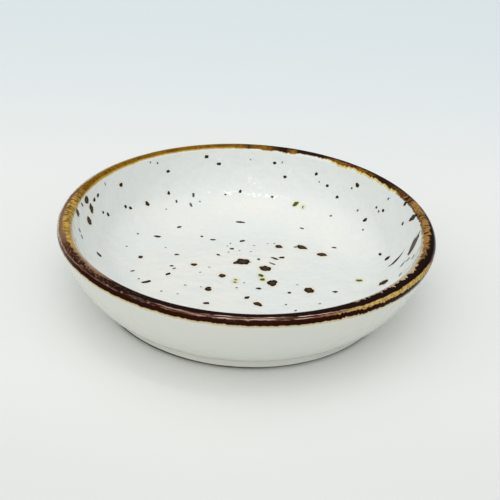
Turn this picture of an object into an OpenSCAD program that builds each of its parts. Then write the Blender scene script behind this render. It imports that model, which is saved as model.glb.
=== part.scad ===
// Round stoneware sauce dish: a pressed clay body with a foot ring, coated in white
// glaze inside, outside and under the base, with a brown reactive glaze over the lip
// and iron flecks melted into the inside coat.
// Lengths are in millimetres. The dish stands on z = 0 and its axis is Z.

/* [Dish] */
// Diameter across the glazed rim
rim_d = 100; // [92:1:116]
// Height of the top of the lip above the sole
dish_h = 21.5; // [19:0.5:28]
// Thickness of the glazed lip, which is fully rounded
lip_t = 3.8; // [2.8:0.1:4.6]
// Thickness of the glazed wall low down, at its heel
heel_t = 4.4; // [3.4:0.1:5.2]
// Lean of the wall from upright just under the lip, in degrees
wall_lean = 14; // [9:1:20]
// Climb of the wall from level where it leaves the foot, in degrees
heel_climb = 34; // [28:1:42]

/* [Well] */
// Thickness of the glazed floor over the recess
floor_t = 3.3; // [2.6:0.1:4.2]
// Reach of the round between the level floor and the wall, over the floor
well_run = 5; // [3:0.5:12]

/* [Foot] */
// Set-in of the glazed foot ring from the rim, all round
foot_inset = 10.25; // [8:0.25:15]
// Height at which the wall turns out from the foot
foot_h = 2.9; // [2.4:0.1:3.6]
// Width of the foot ring
foot_w = 3.4; // [2.8:0.1:6]
// Height of the recess inside the foot ring
recess_h = 1.9; // [1.6:0.1:2.4]
// Radius of the hollow where the foot meets the wall
foot_fillet = 1; // [0.6:0.1:1.4]
// Radius of the hollow where the foot meets the recess
recess_fillet = 0.9; // [0.5:0.1:1]
// Height of the bare clay left above the sole
dry_h = 0.5; // [0.4:0.05:0.8]
// Radius of the edges of the sole
sole_round = 0.3; // [0.2:0.05:0.35]

/* [Glaze] */
// Thickness of every glaze coat
glaze_t = 0.4; // [0.25:0.05:0.5]
// Depth of the brown glaze down the inside
band_in = 1.6; // [1.2:0.1:4]
// Depth of the brown glaze down the outside
band_out = 2.5; // [2.1:0.1:5]

/* [Flecks] */
// Length of the longest iron fleck
fleck_l = 6; // [4:0.5:7]

/* [Hidden] */
$fn = 128;

// Steps along a small round, the half round of the lip, each wall curve and a band
round_steps = 5;
lip_steps = 22;
wall_steps = 8;
band_steps = 2;
// Corners of a fleck's outline and how far its lobes swell and pinch it
fleck_sides = 10;
lobes = 3;
lobe_share = 0.14;
// Turn of the lobes from one fleck to the next
lobe_turn = 50;
// Overrun of the cuts that shape the flecks, on each side of the coat
overrun = 0.8;

// Flecks on the level floor, read by eye from the photo: share of the way from the axis
// to the floor's edge, bearing round the axis, length and width as shares of the longest
// fleck, and turn of the length from the X axis
floor_fleck_shares = [
    [0.05, 115, 0.64, 0.50, 12],
    [0.19, -17, 0.50, 0.41, 8],
    [0.38, -50, 0.41, 0.42, 5],
    [0.68, -34, 0.38, 0.42, 5],
    [0.64, 35, 0.50, 0.32, -24],
    [0.75, 19, 0.42, 0.27, -15],
    [0.47, 49, 0.35, 0.26, -7],
    [0.30, 26, 0.36, 0.15, -28],
    [0.37, 25, 0.25, 0.16, 19],
    [0.29, 227, 0.28, 0.26, 0],
    [0.53, 235, 0.26, 0.28, 12],
    [0.72, 245, 0.26, 0.17, 5],
    [0.54, 273, 0.27, 0.15, 36],
    [0.64, 281, 0.38, 0.24, -29],
    [0.41, 288, 0.23, 0.14, 5],
    [0.23, 309, 0.26, 0.17, -55],
    [0.29, 303, 0.20, 0.18, 12],
    [0.16, 40, 0.15, 0.13, 6],
    [0.92, 204, 0.41, 0.18, 27],
    [0.95, 178, 0.19, 0.22, 20],
    [0.46, 186, 0.26, 0.22, 12],
    [0.71, 199, 0.24, 0.14, 50],
    [0.66, 188, 0.18, 0.12, 6],
    [0.64, 170, 0.21, 0.12, 6],
    [0.95, 153, 0.34, 0.17, -10],
    [0.92, 136, 0.22, 0.16, 30],
    [0.53, 127, 0.26, 0.13, 6],
    [0.64, 132, 0.14, 0.12, 6],
    [0.30, 116, 0.20, 0.14, 5],
    [0.29, 150, 0.18, 0.12, -19],
    [0.43, 95, 0.27, 0.16, 30],
    [0.81, 95, 0.42, 0.16, -3],
    [0.92, 54, 0.22, 0.13, -24],
    [0.92, 25, 0.23, 0.12, -8],
    [0.87, -26, 0.20, 0.13, 0],
    [0.58, -48, 0.16, 0.12, -19],
];
// Flecks on the wall: share of the way from the floor's edge to the brown glaze, bearing,
// length up the slope and width as shares of the longest fleck, and turn off the slope
wall_fleck_shares = [
    [0.95, 170, 0.34, 0.34, 7],
    [0.86, 169, 0.44, 0.26, -9],
    [0.95, 180, 0.36, 0.26, -4],
    [0.80, 174, 0.38, 0.32, 8],
    [0.91, 162, 0.15, 0.21, 15],
    [0.90, 165, 0.14, 0.21, 20],
    [0.70, 161, 0.19, 0.14, -9],
    [0.75, 163, 0.13, 0.12, 0],
    [0.51, 185, 0.30, 0.15, -30],
    [0.61, 148, 0.16, 0.15, 0],
    [0.66, 150, 0.18, 0.13, -20],
    [0.88, 148, 0.18, 0.22, 15],
    [0.57, 139, 0.23, 0.18, 0],
    [0.62, 127, 0.18, 0.14, -20],
    [0.86, 125, 0.14, 0.18, 0],
    [0.94, 108, 0.15, 0.22, 8],
    [0.87, 103, 0.14, 0.23, 4],
    [0.53, 94, 0.18, 0.14, 0],
    [0.90, 80, 0.14, 0.17, 8],
    [0.78, 75, 0.15, 0.17, 8],
    [0.42, 67, 0.35, 0.18, -22],
    [0.87, 62, 0.17, 0.14, -34],
    [0.79, 56, 0.14, 0.16, 15],
    [0.71, 50, 0.16, 0.14, -38],
    [0.90, 43, 0.18, 0.22, -15],
    [0.61, 32, 0.25, 0.16, -22],
    [0.82, 26, 0.16, 0.16, -12],
    [0.86, 12, 0.17, 0.14, -4],
    [0.96, 8, 0.44, 0.20, -28],
    [0.87, -4, 1.00, 0.50, 9],
    [0.59, -1, 0.78, 0.13, 15],
    [0.42, 9, 0.14, 0.19, 0],
    [0.49, 4, 0.28, 0.18, 20],
    [0.39, -13, 0.43, 0.25, 40],
];

// Sizes of the section worked out from the driving ones
rim_r = rim_d / 2;
foot_r = rim_r - foot_inset;
lip_r = lip_t / 2;
lip_c = [rim_r - lip_r, dish_h - lip_r];
floor_z = recess_h + floor_t;

// Places on arcs and on curves of three control points
function heading(a) = [cos(a), sin(a)];
function arc(c, r, a0, a1, n) = [for (i = [0:n]) c + r * heading(a0 + (a1 - a0) * i / n)];
function bend(p, t) = (1 - t) * (1 - t) * p[0] + 2 * t * (1 - t) * p[1] + t * t * p[2];
function curve(p, t0, t1, n) = [for (i = [0:n]) bend(p, t0 + (t1 - t0) * i / n)];
// Angle of climb of a curve at t
function climb(p, t) =
    let (u = (1 - t) * (p[1] - p[0]) + t * (p[2] - p[1]))
    atan2(u[1], u[0]);
// Share of a curve at which it has climbed to height z
function share_at(p, z) =
    let (a = p[0][1] - 2 * p[1][1] + p[2][1],
         b = p[1][1] - p[0][1],
         c = p[0][1] - z)
    -c / (b + sqrt(b * b - a * c));
// Crossing of the line from p along u with the line from q along v
function crossing(p, u, q, v) = p + u * cross(q - p, v) / cross(u, v);

// Line operations: drop the first point, turn round, and push to the left by d
function after_first(p) = [for (i = [1:len(p) - 1]) p[i]];
function reversed(p) = [for (i = [len(p) - 1:-1:0]) p[i]];
function left_of(u) = [-u[1], u[0]] / norm(u);
function pushed(p, d) = [for (i = [0:len(p) - 1])
    let (ahead = i < len(p) - 1 ? p[i + 1] - p[i] : p[i] - p[i - 1],
         behind = i > 0 ? p[i] - p[i - 1] : ahead,
         n = left_of(ahead) + left_of(behind))
    p[i] + n * 2 * d / (n * n)];

// Outer wall, from the foot's hollow to the lip, as one curve
heel_way = heading(heel_climb);
lip_way = heading(90 - wall_lean);
foot_hollow_c = [foot_r + foot_fillet, foot_h - foot_fillet];
heel = foot_hollow_c + foot_fillet * heading(90 + heel_climb);
outer_lip = lip_c + lip_r * heading(-wall_lean);
outer_wall = [heel, crossing(heel, heel_way, outer_lip, lip_way), outer_lip];

// Inner wall, as a low curve off the floor and a high curve up to the lip
inner_lip = lip_c + lip_r * heading(180 - wall_lean);
inner_heel = heel + heel_t * heading(90 + heel_climb);
low_corner = crossing(inner_heel, heel_way, [0, floor_z], heading(0));
high_corner = crossing(inner_heel, heel_way, inner_lip, lip_way);
floor_r = low_corner[0] - well_run;
low_wall = [[floor_r, floor_z], low_corner, (low_corner + high_corner) / 2];
high_wall = [low_wall[2], high_corner, inner_lip];

// Ends of the brown glaze, as shares of the wall curves
outer_band_share = share_at(outer_wall, dish_h - band_out);
inner_band_share = share_at(high_wall, dish_h - band_in);

// The section runs from the axis under the base, round the foot, up the outside, over
// the lip and down the inside. Its line is the glazed surface, and on the bare sole it is
// where a coat would lie, one coat below z = 0.
foot_inner_r = foot_r - foot_w;
sole_r = sole_round + glaze_t;
base_line = concat([[0, recess_h]],
    arc([foot_inner_r - recess_fillet, recess_h - recess_fillet], recess_fillet, 90, 0,
        round_steps),
    [[foot_inner_r, dry_h]]);
sole_line = concat([[foot_inner_r, dry_h]],
    arc([foot_inner_r + sole_r, sole_round], sole_r, 180, 270, round_steps),
    arc([foot_r - sole_r, sole_round], sole_r, 270, 360, round_steps),
    [[foot_r, dry_h]]);
outer_line = concat([[foot_r, dry_h]],
    arc(foot_hollow_c, foot_fillet, 180, 90 + heel_climb, round_steps),
    after_first(curve(outer_wall, 0, outer_band_share, 2 * wall_steps)));
rim_line = concat(curve(outer_wall, outer_band_share, 1, band_steps),
    after_first(arc(lip_c, lip_r, -wall_lean, 180 - wall_lean, lip_steps)),
    after_first(curve(high_wall, 1, inner_band_share, band_steps)));
inner_line = concat(curve(high_wall, inner_band_share, 0, wall_steps),
    after_first(curve(low_wall, 1, 0, wall_steps)),
    [[0, floor_z]]);

// The whole line and its clay side, and the stretch of either that a name stands for
line_names = ["base", "sole", "outer", "rim", "inner"];
lines = [base_line, sole_line, outer_line, rim_line, inner_line];
glazed_line = [for (i = [0:len(lines) - 1]) each i == 0 ? lines[i] : after_first(lines[i])];
clay_line = pushed(glazed_line, glaze_t);
function start_of(i) = i == 0 ? 0 : start_of(i - 1) + len(lines[i - 1]) - 1;
function stretch(line, name) =
    let (i = search([name], line_names)[0])
    [for (k = [start_of(i):start_of(i + 1)]) line[k]];

module spun(points) {
    rotate_extrude() polygon(points);
}

// One coat of glaze over a stretch of the line
module coat(name) {
    spun(concat(stretch(glazed_line, name), reversed(stretch(clay_line, name))));
}

// Lobed outline of a fleck, extruded through the coat
module fleck(length, width, number) {
    outline = [for (i = [0:fleck_sides - 1])
        let (a = 360 * i / fleck_sides,
             swell = 1 + lobe_share * sin(lobes * a + lobe_turn * number))
        swell * [length * cos(a), width * sin(a)] / 2];
    linear_extrude(2 * (glaze_t + overrun), center = true) polygon(outline);
}

module floor_flecks() {
    for (i = [0:len(floor_fleck_shares) - 1]) {
        f = floor_fleck_shares[i];
        rotate(f[1]) translate([f[0] * floor_r, 0, floor_z])
            rotate(f[4] - f[1]) fleck(f[2] * fleck_l, f[3] * fleck_l, i);
    }
}

module wall_flecks() {
    for (i = [0:len(wall_fleck_shares) - 1]) {
        f = wall_fleck_shares[i];
        low = f[0] < 1 / 2;
        wall = low ? low_wall : high_wall;
        t = low ? 2 * f[0] : (2 * f[0] - 1) * inner_band_share;
        p = bend(wall, t);
        rotate(f[1]) translate([p[0], 0, p[1]]) rotate([0, -climb(wall, t), 0])
            rotate(f[4]) fleck(f[2] * fleck_l, f[3] * fleck_l, i);
    }
}

module clay_body() {
    color("#d8d0c0") spun(clay_line);
}

module inner_glaze() {
    color("#eceee9") difference() {
        coat("inner");
        floor_flecks();
        wall_flecks();
    }
}

module outer_glaze() {
    color("#e6e8e2") coat("outer");
}

module base_glaze() {
    color("#e6e8e2") coat("base");
}

module rim_glaze() {
    color("#5a3418") coat("rim");
}

module iron_flecks() {
    color("#2a2118") intersection() {
        coat("inner");
        union() {
            floor_flecks();
            wall_flecks();
        }
    }
}

clay_body();
inner_glaze();
outer_glaze();
base_glaze();
rim_glaze();
iron_flecks();
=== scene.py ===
# Round stoneware sauce dish with a white glaze, a brown reactive glaze brushed over the
# lip and iron flecks melted into the inside coat. Lengths are in metres.
import math

import bmesh
import bpy
import numpy as np
from mathutils import Matrix, Vector, noise


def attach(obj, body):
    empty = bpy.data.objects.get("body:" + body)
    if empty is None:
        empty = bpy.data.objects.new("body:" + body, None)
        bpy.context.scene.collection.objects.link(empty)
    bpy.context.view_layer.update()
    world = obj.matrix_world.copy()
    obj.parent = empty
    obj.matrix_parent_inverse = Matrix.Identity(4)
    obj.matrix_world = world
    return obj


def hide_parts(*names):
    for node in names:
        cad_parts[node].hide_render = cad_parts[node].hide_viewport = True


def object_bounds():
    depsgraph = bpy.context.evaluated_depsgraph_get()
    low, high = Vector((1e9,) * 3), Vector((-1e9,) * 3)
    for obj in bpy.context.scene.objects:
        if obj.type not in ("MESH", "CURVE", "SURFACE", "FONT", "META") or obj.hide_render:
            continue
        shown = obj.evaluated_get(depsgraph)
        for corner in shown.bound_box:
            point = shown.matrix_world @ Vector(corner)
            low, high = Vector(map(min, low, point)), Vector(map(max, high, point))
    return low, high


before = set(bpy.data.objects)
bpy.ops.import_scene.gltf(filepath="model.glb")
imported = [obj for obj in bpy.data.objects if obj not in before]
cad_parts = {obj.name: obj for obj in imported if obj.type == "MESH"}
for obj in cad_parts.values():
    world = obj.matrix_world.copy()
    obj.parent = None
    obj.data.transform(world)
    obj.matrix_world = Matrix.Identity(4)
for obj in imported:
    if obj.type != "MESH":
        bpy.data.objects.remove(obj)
cad_low, cad_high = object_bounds()

MM = 0.001
FULL_TURN = 2 * math.pi

# The section's sizes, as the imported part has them
rim_r = cad_high.x
dish_h = cad_high.z
lip_r = 1.9 * MM
heel_t = 4.4 * MM
wall_lean = math.radians(14)
heel_climb = math.radians(34)
floor_t = 3.3 * MM
well_run = 5 * MM
foot_r = rim_r - 10.25 * MM
foot_h = 2.9 * MM
foot_w = 3.4 * MM
recess_h = 1.9 * MM
foot_fillet = 1 * MM
recess_fillet = 0.9 * MM
dry_h = 0.5 * MM
sole_round = 0.3 * MM
glaze_t = 0.4 * MM
band_in = 1.6 * MM
band_out = 2.5 * MM
floor_z = recess_h + floor_t
lip_c = Vector((rim_r - lip_r, dish_h - lip_r))


# Places on arcs and on curves of three control points, in the section's plane

def heading(angle):
    return Vector((math.cos(angle), math.sin(angle)))


def arc(centre, radius, start, end, steps):
    return [centre + radius * heading(start + (end - start) * i / steps) for i in range(steps + 1)]


def bend(points, t):
    return (1 - t) ** 2 * points[0] + 2 * t * (1 - t) * points[1] + t * t * points[2]


def curve(points, start, end, steps):
    return [bend(points, start + (end - start) * i / steps) for i in range(steps + 1)]


def share_at(points, z):
    """Share of a curve at which it has climbed to height z."""
    a = points[0].y - 2 * points[1].y + points[2].y
    b = points[1].y - points[0].y
    c = points[0].y - z
    return -c / (b + math.sqrt(b * b - a * c))


def crossing(p, u, q, v):
    return p + u * (q - p).cross(v) / u.cross(v)


def pushed(line, distance):
    """The line moved to its left by a distance."""
    made = []
    for i, point in enumerate(line):
        ahead = line[i + 1] - point if i < len(line) - 1 else point - line[i - 1]
        behind = point - line[i - 1] if i else ahead
        normal = Vector((-ahead.y, ahead.x)).normalized() + Vector((-behind.y, behind.x)).normalized()
        made.append(point + normal * 2 * distance / normal.dot(normal))
    return made


def quarter(turns):
    return turns * math.pi / 2


# Outer wall from the foot's hollow to the lip, and the inner wall one heel's thickness in
foot_hollow_c = Vector((foot_r + foot_fillet, foot_h - foot_fillet))
heel = foot_hollow_c + foot_fillet * heading(quarter(1) + heel_climb)
outer_lip = lip_c + lip_r * heading(-wall_lean)
inner_lip = lip_c + lip_r * heading(quarter(2) - wall_lean)
heel_way = heading(heel_climb)
lip_way = heading(quarter(1) - wall_lean)
outer_wall = [heel, crossing(heel, heel_way, outer_lip, lip_way), outer_lip]
inner_heel = heel + heel_t * heading(quarter(1) + heel_climb)
low_corner = crossing(inner_heel, heel_way, Vector((0, floor_z)), heading(0))
high_corner = crossing(inner_heel, heel_way, inner_lip, lip_way)
floor_r = low_corner.x - well_run
low_wall = [Vector((floor_r, floor_z)), low_corner, (low_corner + high_corner) / 2]
high_wall = [low_wall[2], high_corner, inner_lip]
outer_band_share = share_at(outer_wall, dish_h - band_out)
inner_band_share = share_at(high_wall, dish_h - band_in)

# Steps along each stretch of the section, and round the axis
SMALL_ROUND_STEPS = 8
WALL_STEPS = 24
LIP_STEPS = 44
BAND_STEPS = 3
FLOOR_STEPS = 58
FACETS = 384


def section():
    """The glazed line's stretches, from the axis under the base round to the axis above."""
    foot_inner_r = foot_r - foot_w
    sole_r = sole_round + glaze_t
    recess_c = Vector((foot_inner_r - recess_fillet, recess_h - recess_fillet))
    inner_sole_c = Vector((foot_inner_r + sole_r, sole_round))
    outer_sole_c = Vector((foot_r - sole_r, sole_round))
    base = [Vector((recess_c.x * i / SMALL_ROUND_STEPS, recess_h)) for i in range(SMALL_ROUND_STEPS)]
    base += arc(recess_c, recess_fillet, quarter(1), 0, SMALL_ROUND_STEPS)
    base += [Vector((foot_inner_r, dry_h))]
    sole = [base[-1]]
    sole += arc(inner_sole_c, sole_r, quarter(2), quarter(3), SMALL_ROUND_STEPS)
    sole += arc(outer_sole_c, sole_r, quarter(3), quarter(4), SMALL_ROUND_STEPS)
    sole += [Vector((foot_r, dry_h))]
    outer = [sole[-1]]
    outer += arc(foot_hollow_c, foot_fillet, quarter(2), quarter(1) + heel_climb, SMALL_ROUND_STEPS)
    outer += curve(outer_wall, 0, outer_band_share, WALL_STEPS)[1:]
    rim = curve(outer_wall, outer_band_share, 1, BAND_STEPS)
    rim += arc(lip_c, lip_r, -wall_lean, quarter(2) - wall_lean, LIP_STEPS)[1:]
    rim += curve(high_wall, 1, inner_band_share, BAND_STEPS)[1:]
    inner = curve(high_wall, inner_band_share, 0, WALL_STEPS)
    inner += curve(low_wall, 1, 0, WALL_STEPS)[1:]
    inner += [Vector((floor_r * (1 - i / FLOOR_STEPS), floor_z)) for i in range(1, FLOOR_STEPS + 1)]
    return {"base": base, "sole": sole, "outer": outer, "rim": rim, "inner": inner}


stretches = section()
glazed_line = []
starts = {}
for stretch_name, stretch in stretches.items():
    starts[stretch_name] = max(len(glazed_line) - 1, 0)
    glazed_line += stretch if not glazed_line else stretch[1:]
clay_line = pushed(glazed_line, glaze_t)


# Unevenness of hand work, which all pieces share: a slow swell, and ripples and dimples.
# They only pull a point inwards and down, so the pot never grows past its true size.
SWELL_WAVE = 28 * MM
SWELL_DEPTH = 0.07 * MM
RIPPLE_WAVE = 8 * MM
RIPPLE_DEPTH = 0.05 * MM
DIMPLE_WAVE = 3.4 * MM
DIMPLE_DEPTH = 0.035 * MM


def unevenness(point):
    """How far a point of the true shape moves, in and down."""
    above_foot = min(max((point.z - foot_h) / (floor_z - foot_h), 0), 1)
    swell = SWELL_DEPTH * (noise.noise(point / SWELL_WAVE) + 1) / 2
    ripple = RIPPLE_DEPTH * (noise.noise(point / RIPPLE_WAVE) + 1) / 2
    ripple += DIMPLE_DEPTH * (noise.noise(point / DIMPLE_WAVE) + 1) / 2
    inward = Vector((-point.x, -point.y, 0)).normalized()
    return above_foot * (swell * inward + (swell + ripple) * Vector((0, 0, -1)))


# Edges bent by more than this stay sharp. Points closer than these are made one, in the
# scene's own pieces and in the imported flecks
CREASE = math.radians(40)
WELD_REACH = MM / 1000
PACKED_WELD_REACH = MM / 100


def finish_mesh(bm, name, node):
    """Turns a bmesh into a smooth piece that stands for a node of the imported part."""
    mesh = bpy.data.meshes.new(name)
    for face in bm.faces:
        face.smooth = True
    for edge in bm.edges:
        edge.smooth = edge.calc_face_angle(0) < CREASE
    bm.to_mesh(mesh)
    bm.free()
    piece = bpy.data.objects.new(name, mesh)
    bpy.context.scene.collection.objects.link(piece)
    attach(piece, "root")
    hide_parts(node)
    return piece


def turned(outline, name, node):
    """A closed outline in the section's plane, spun a quarter turn and mirrored twice."""
    bm = bmesh.new()
    corners = [bm.verts.new((p.x, 0, p.y)) for p in outline]
    edges = [bm.edges.new((a, b)) for a, b in zip(corners, corners[1:])]
    off_axis = outline[0].x > WELD_REACH
    if off_axis:
        edges.append(bm.edges.new((corners[-1], corners[0])))
    bmesh.ops.spin(bm, geom=corners + edges, axis=(0, 0, 1), cent=(0, 0, 0),
                   steps=FACETS // 4, angle=quarter(1))
    for side in "XY":
        bmesh.ops.mirror(bm, geom=bm.verts[:] + bm.edges[:] + bm.faces[:], axis=side)
    bmesh.ops.remove_doubles(bm, verts=bm.verts, dist=WELD_REACH)
    bmesh.ops.recalc_face_normals(bm, faces=bm.faces)
    for vert in bm.verts:
        vert.co += unevenness(vert.co)
    return finish_mesh(bm, name, node)


def coat_outline(stretch_name):
    """Outline of one coat of glaze, out along the glazed line and back along the clay."""
    first = starts[stretch_name]
    last = first + len(stretches[stretch_name])
    return glazed_line[first:last] + clay_line[first:last][::-1]


# Colours, as they look in daylight

def colour(red, green, blue):
    """A colour given as 8-bit values, as a shader wants it."""
    linear = []
    for value in (red, green, blue):
        share = value / 255
        linear.append(share / 12.92 if share <= 0.04045 else ((share + 0.055) / 1.055) ** 2.4)
    return (*linear, 1)


WHITE = colour(234, 235, 228)
COOL_WHITE = colour(229, 233, 230)
# The wall's white is cooler and a little darker than the floor's: partly painted shade of the cooler light
# on the walls, partly thinner glaze than in the pooled well
SHADED_WALL_WHITE = colour(230, 234, 231)
# The outside's whites are darker than the inside's: painted shade of the outer wall, which faces down and
# away from the light
SHADED_OUTER_WHITE = colour(220, 220, 211)
SHADED_OUTER_COOL = colour(216, 219, 212)
CREAM = colour(200, 190, 160)
# Painted highlight on the outside of the lip
PAINTED_HIGHLIGHT_BEIGE = colour(186, 164, 146)
SAND = colour(196, 176, 142)
DUN = colour(164, 144, 122)
DRAB = colour(128, 98, 72)
# Painted highlight of the lip's thin pale lines and pale swirls
PAINTED_HIGHLIGHT_ROSE = colour(214, 186, 168)
# Painted highlight on the outside of the lip
PAINTED_HIGHLIGHT_WHITE = colour(220, 206, 196)
PALE_YELLOW = colour(198, 184, 138)
PEACH = colour(234, 204, 166)
LEMON = colour(216, 198, 116)
GOLD = colour(202, 164, 80)
AMBER = colour(176, 118, 30)
YELLOW_OCHRE = colour(188, 146, 36)
OCHRE = colour(134, 92, 10)
OLIVE_BROWN = colour(92, 66, 12)
TAN = colour(162, 120, 64)
RUST = colour(130, 56, 16)
CHESTNUT = colour(98, 46, 18)
UMBER = colour(78, 42, 30)
STRAW = colour(200, 170, 94)
RED_BROWN = colour(40, 10, 2)
MAROON = colour(44, 17, 9)
DUSKY_BROWN = colour(112, 76, 62)
ROSE_BROWN = colour(146, 106, 78)
BLACK_BROWN = colour(26, 6, 4)
PALE_GOLD = colour(206, 180, 124)
OLIVE_GREEN = colour(92, 96, 30)
IRON_BLACK = colour(20, 17, 10)
IRON_BROWN = colour(62, 48, 30)
IRON_AMBER = colour(120, 100, 62)
FAINT_GREY = colour(186, 186, 176)
BARE_CLAY = colour(188, 174, 148)
# Toasted edge of the glaze above the sole, darkened further as painted contact shade
TOASTED_EDGE_AND_SHADE = colour(30, 28, 22)
PALE_GREEN = colour(216, 212, 152)
TOASTED_CLAY = colour(132, 104, 76)


class Finish:
    """One material, with a call for each kind of node that it is built from."""

    def __init__(self, name):
        self.material = bpy.data.materials.new(name)
        self.material.use_nodes = True
        self.tree = self.material.node_tree
        self.shader = self.tree.nodes["Principled BSDF"]

    def feed(self, socket, value):
        if isinstance(value, bpy.types.NodeSocket):
            self.tree.links.new(value, socket)
        else:
            socket.default_value = value

    def node(self, kind, inputs, output=0, **settings):
        made = self.tree.nodes.new("ShaderNode" + kind)
        for name, value in settings.items():
            setattr(made, name, value)
        for key, value in inputs.items():
            self.feed(made.inputs[key], value)
        return made.outputs[output]

    def place(self):
        return self.node("TexCoord", {}, "Object")

    def split(self, vector):
        return self.node("SeparateXYZ", {0: vector}).node.outputs

    def math(self, operation, *values):
        return self.node("Math", dict(enumerate(values)), operation=operation)

    def spread(self, value, low, high, to_low=0.0, to_high=1.0):
        """A smooth step from one value to another as an input goes from low to high."""
        return self.node("MapRange", {0: value, 1: low, 2: high, 3: to_low, 4: to_high},
                         interpolation_type="SMOOTHSTEP")

    def mix(self, share, first, second):
        return self.node("Mix", {0: share, 6: first, 7: second}, 2, data_type="RGBA")

    def noise(self, vector, scale, detail=2.0):
        return self.node("TexNoise", {"Vector": vector, "Scale": scale, "Detail": detail})

    def attribute(self, name):
        """A value that the piece's mesh carries."""
        return self.node("Attribute", {}, "Fac", attribute_name=name)

    def ramp(self, value, stops):
        """Colours or numbers at named places from 0 to 1."""
        output = self.node("ValToRGB", {0: value})
        band = output.node.color_ramp
        for i, (place, stop) in enumerate(stops):
            element = band.elements[i] if i < 2 else band.elements.new(place)
            element.position = place
            element.color = stop if isinstance(stop, tuple) else (stop, stop, stop, 1)
        return output

    def bump(self, height, strength, depth):
        return self.node("Bump", {"Height": height, "Strength": strength, "Distance": depth})

    def surface(self, **values):
        """Sets the shader's sockets, with spaces for underscores in their names."""
        for name, value in values.items():
            self.feed(self.shader.inputs[name.replace("_", " ")], value)
        return self.material


# The lip's paint is placed by bearing round the rim, as a share of a turn from the right,
# and by angle out from the crest, as a share of all angles from -LIP_REACH to LIP_REACH

LIP_REACH = 130
ALL_ANGLES = 2 * LIP_REACH


def lip_share(degrees):
    """An angle out from the lip's crest, as a share from 0 inside to 1 outside."""
    return (degrees + LIP_REACH) / ALL_ANGLES


def by_bearing(degrees_and_stops):
    """Stops for a ramp round the rim. The first is repeated at the end of the turn."""
    stops = [(degrees / 360, stop) for degrees, stop in degrees_and_stops]
    return stops + [(1.0, stops[0][1])]


def angles_by_bearing(degrees_and_angles):
    return by_bearing([(degrees, lip_share(angle)) for degrees, angle in degrees_and_angles])


# What the brush and the fire left round the rim: bearing in degrees, then the angle out
# from the crest at which one tone gives way to the next
BROWN_FROM = [
    (0, -60), (20, -58), (25, -68), (35, -70), (56, -66), (60, -52), (70, -50), (73, -64),
    (90, -60), (120, -58), (140, -60), (160, -66), (172, -78), (182, -96), (192, -92),
    (200, -72), (207, -56), (216, -60), (226, -60), (240, -60), (290, -58), (300, -56),
    (310, -66), (320, -72), (330, -80), (340, -88), (350, -84)]
FRINGE_TO = [
    (0, -46), (20, -44), (25, -52), (40, -50), (57, -50), (60, -44), (70, -46), (73, -59),
    (90, -55), (98, -44), (160, -46), (172, -72), (180, -80), (190, -76), (200, -60),
    (207, -30), (214, -20), (226, -16), (235, -32), (245, -42), (285, -38), (300, -24),
    (310, -13), (322, -8), (329, -12), (335, -40), (350, -54)]
DARK_FROM = [
    (0, 12), (14, 18), (20, 10), (24, -8), (58, -14), (72, -14), (90, 0), (105, -8), (165, -8),
    (176, 0), (188, 6), (196, 12), (205, 2), (212, -2), (218, 6), (226, 4), (232, -26),
    (300, -40), (325, -30), (338, -4), (348, 4), (356, 12)]
DARK_TO = [
    (0, 108), (90, 60), (108, 0), (160, 2), (168, 12), (178, 30), (190, 38), (200, 48),
    (212, 48), (224, 36), (240, 24), (254, 22), (266, 15), (282, 15), (292, 24), (300, 33),
    (312, 37), (322, 42), (332, 50), (341, 66), (348, 96)]
OUTLINE_FROM = [
    (0, 100), (190, 92), (197, 70), (206, 60), (226, 46), (240, 42), (285, 42), (295, 50),
    (302, 58), (310, 66), (320, 74), (328, 84), (335, 96), (345, 104)]
BROWN_TO = [
    (0, 118), (90, 100), (190, 98), (197, 94), (206, 88), (214, 83), (222, 78), (262, 75),
    (285, 77), (295, 83), (302, 91), (310, 101), (320, 116), (330, 125), (345, 125)]

# Bearing in degrees and glaze: the inner edge, the inside, the crest and the outside
# On the inner edge, the cream at 66 degrees is a painted highlight
INNER_FRINGE = [
    (0, OLIVE_BROWN), (21, OLIVE_BROWN), (25, LEMON), (60, LEMON), (66, CREAM), (72, GOLD),
    (94, YELLOW_OCHRE), (162, YELLOW_OCHRE), (176, PALE_GOLD), (196, PALE_GOLD), (206, SAND),
    (217, SAND), (224, DUN), (232, DUSKY_BROWN), (240, MAROON), (284, MAROON), (298, DUN),
    (310, DUN), (322, SAND), (350, SAND)]
INNER_FACE = [
    (0, TAN), (13, TAN), (15, RED_BROWN), (17, TAN), (20, CHESTNUT), (25, OLIVE_BROWN),
    (29, RED_BROWN), (36, BLACK_BROWN), (39, OCHRE), (41, RED_BROWN), (43, AMBER),
    (46, BLACK_BROWN), (50, RUST), (53, OCHRE), (57, CHESTNUT), (60, BLACK_BROWN),
    (72, BLACK_BROWN), (73, AMBER), (75, BLACK_BROWN), (81, MAROON), (84, OCHRE), (89, OCHRE),
    (91, RED_BROWN), (94, OCHRE), (166, OCHRE), (178, GOLD), (195, GOLD), (206, GOLD),
    (213, DRAB), (326, TAN), (350, TAN)]
CREST = [
    (0, BLACK_BROWN), (24, MAROON), (58, BLACK_BROWN), (72, BLACK_BROWN), (92, RED_BROWN),
    (98, OCHRE), (162, OCHRE), (174, DUSKY_BROWN), (186, DRAB), (200, DRAB), (207, UMBER),
    (214, MAROON), (222, MAROON), (236, BLACK_BROWN)]
# On the outside, the cream, rose white and beige from 160 to 207 degrees are a painted highlight
OUTER_FACE = [
    (0, BLACK_BROWN), (88, BLACK_BROWN), (98, AMBER), (125, TAN), (160, CREAM),
    (178, PAINTED_HIGHLIGHT_WHITE), (188, PAINTED_HIGHLIGHT_WHITE), (200, PAINTED_HIGHLIGHT_BEIGE), (207, PAINTED_HIGHLIGHT_BEIGE), (216, DUSKY_BROWN),
    (226, RED_BROWN), (244, RED_BROWN), (256, CHESTNUT), (264, UMBER), (284, UMBER),
    (291, CHESTNUT), (296, TAN), (301, STRAW), (330, STRAW), (338, TAN), (350, CHESTNUT)]

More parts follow.
